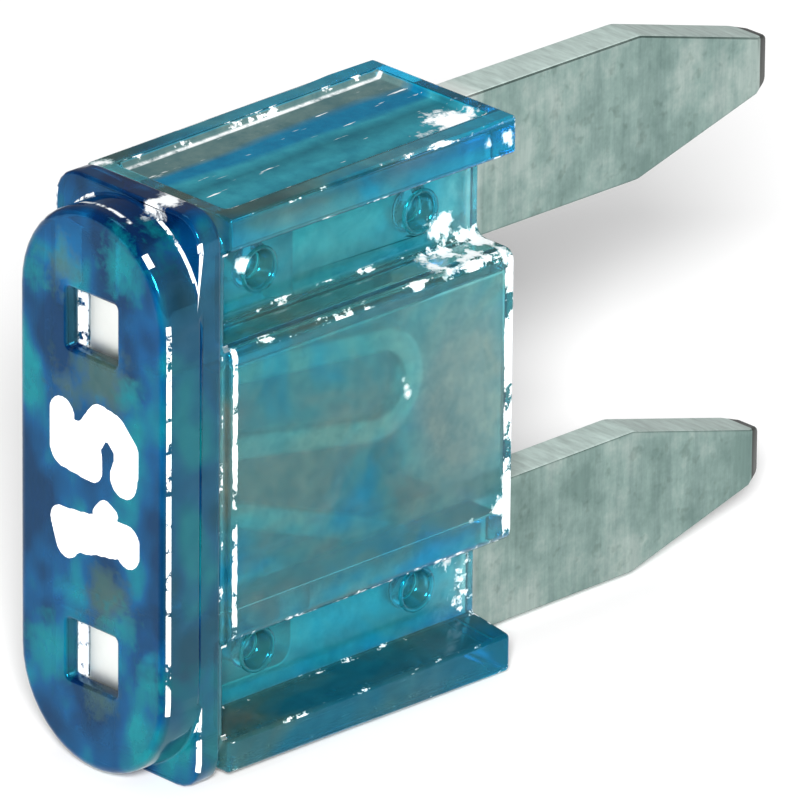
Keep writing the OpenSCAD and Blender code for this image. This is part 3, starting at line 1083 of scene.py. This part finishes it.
def ink_brush():
    """A tree that lays round-ended strokes of ink along paths drawn in millimetres."""
    name = "ink_brush"
    if name in bpy.data.node_groups:
        return bpy.data.node_groups[name]
    group = bpy.data.node_groups.new(name, "GeometryNodeTree")
    sockets = group.interface
    sockets.new_socket("Geometry", in_out="INPUT", socket_type="NodeSocketGeometry")
    sockets.new_socket("Stroke", in_out="INPUT", socket_type="NodeSocketFloat")
    sockets.new_socket("Coat", in_out="INPUT", socket_type="NodeSocketFloat")
    sockets.new_socket("Ink", in_out="INPUT", socket_type="NodeSocketMaterial")
    sockets.new_socket("Geometry", in_out="OUTPUT", socket_type="NodeSocketGeometry")
    nodes, links = group.nodes, group.links
    given = nodes.new("NodeGroupInput")
    result = nodes.new("NodeGroupOutput")
    half = node_maths(group, "MULTIPLY", given.outputs["Stroke"], 0.5)
    points = nodes.new("GeometryNodeCurveToPoints")
    points.mode = "LENGTH"
    points.inputs["Length"].default_value = INK_GRAIN
    links.new(given.outputs["Geometry"], points.inputs["Curve"])
    volume = nodes.new("GeometryNodePointsToVolume")
    volume.resolution_mode = "VOXEL_SIZE"
    volume.inputs["Voxel Size"].default_value = INK_GRAIN
    links.new(points.outputs["Points"], volume.inputs["Points"])
    weight = nodes.new("GeometryNodeInputRadius")
    links.new(node_maths(group, "MULTIPLY", half, weight.outputs["Radius"]), volume.inputs["Radius"])
    skin = nodes.new("GeometryNodeVolumeToMesh")
    skin.resolution_mode = "VOXEL_SIZE"
    skin.inputs["Voxel Size"].default_value = INK_GRAIN
    links.new(volume.outputs["Volume"], skin.inputs["Volume"])
    # The rounded skin is pressed flat, to the ink's thickness, and brought to real size
    at = nodes.new("GeometryNodeInputPosition")
    parts = nodes.new("ShaderNodeSeparateXYZ")
    links.new(at.outputs["Position"], parts.inputs["Vector"])
    front = node_maths(group, "MULTIPLY", given.outputs["Coat"], -1.0)
    pressed = node_maths(group, "MAXIMUM", parts.outputs["X"], front)
    pressed = node_maths(group, "MINIMUM", pressed, given.outputs["Coat"])
    flat = nodes.new("ShaderNodeCombineXYZ")
    links.new(pressed, flat.inputs["X"])
    links.new(parts.outputs["Y"], flat.inputs["Y"])
    links.new(parts.outputs["Z"], flat.inputs["Z"])
    move = nodes.new("GeometryNodeSetPosition")
    links.new(skin.outputs["Mesh"], move.inputs["Geometry"])
    links.new(flat.outputs["Vector"], move.inputs["Position"])
    size = nodes.new("GeometryNodeTransform")
    size.inputs["Scale"].default_value = (MM, MM, MM)
    links.new(move.outputs["Geometry"], size.inputs["Geometry"])
    real = nodes.new("GeometryNodeRealizeInstances")
    links.new(size.outputs["Geometry"], real.inputs["Geometry"])
    paint = nodes.new("GeometryNodeSetMaterial")
    links.new(real.outputs["Geometry"], paint.inputs["Geometry"])
    links.new(given.outputs["Ink"], paint.inputs["Material"])
    links.new(paint.outputs["Geometry"], result.inputs["Geometry"])
    return group


class FUSE_PT_sidebar(bpy.types.Panel):
    """Lists the pieces of the fuse and the stage"""

    bl_idname = "FUSE_PT_sidebar"
    bl_label = "Blade Fuse"
    bl_space_type = "VIEW_3D"
    bl_region_type = "UI"
    bl_category = "Fuse"

    def draw(self, context):
        for operator in OPERATORS:
            self.layout.operator(operator.bl_idname)
        for name, group in LOOKS.items():
            box = self.layout.box()
            for setting in group.__annotations__:
                box.prop(getattr(context.scene, name), setting)


OPERATORS = (
    FUSE_OT_set_stage,
    FUSE_OT_mould_housing,
    FUSE_OT_raise_stake_rims,
    FUSE_OT_stamp_element,
    FUSE_OT_print_rating,
)
LOOKS = {
    "fuse_plastic": PlasticLook,
    "fuse_zinc": ZincLook,
    "fuse_print": PrintLook,
    "fuse_stage": StageLook,
}


def register():
    for item in (*LOOKS.values(), *OPERATORS, FUSE_PT_sidebar):
        bpy.utils.register_class(item)
    for name, group in LOOKS.items():
        setattr(bpy.types.Scene, name, PointerProperty(type=group))


def unregister():
    for name in LOOKS:
        delattr(bpy.types.Scene, name)
    for item in (FUSE_PT_sidebar, *OPERATORS, *LOOKS.values()):
        bpy.utils.unregister_class(item)


def main():
    register()
    bpy.ops.fuse.set_stage()
    bpy.ops.fuse.mould_housing()
    bpy.ops.fuse.raise_stake_rims()
    bpy.ops.fuse.stamp_element()
    bpy.ops.fuse.print_rating()


if __name__ == "__main__":
    main()
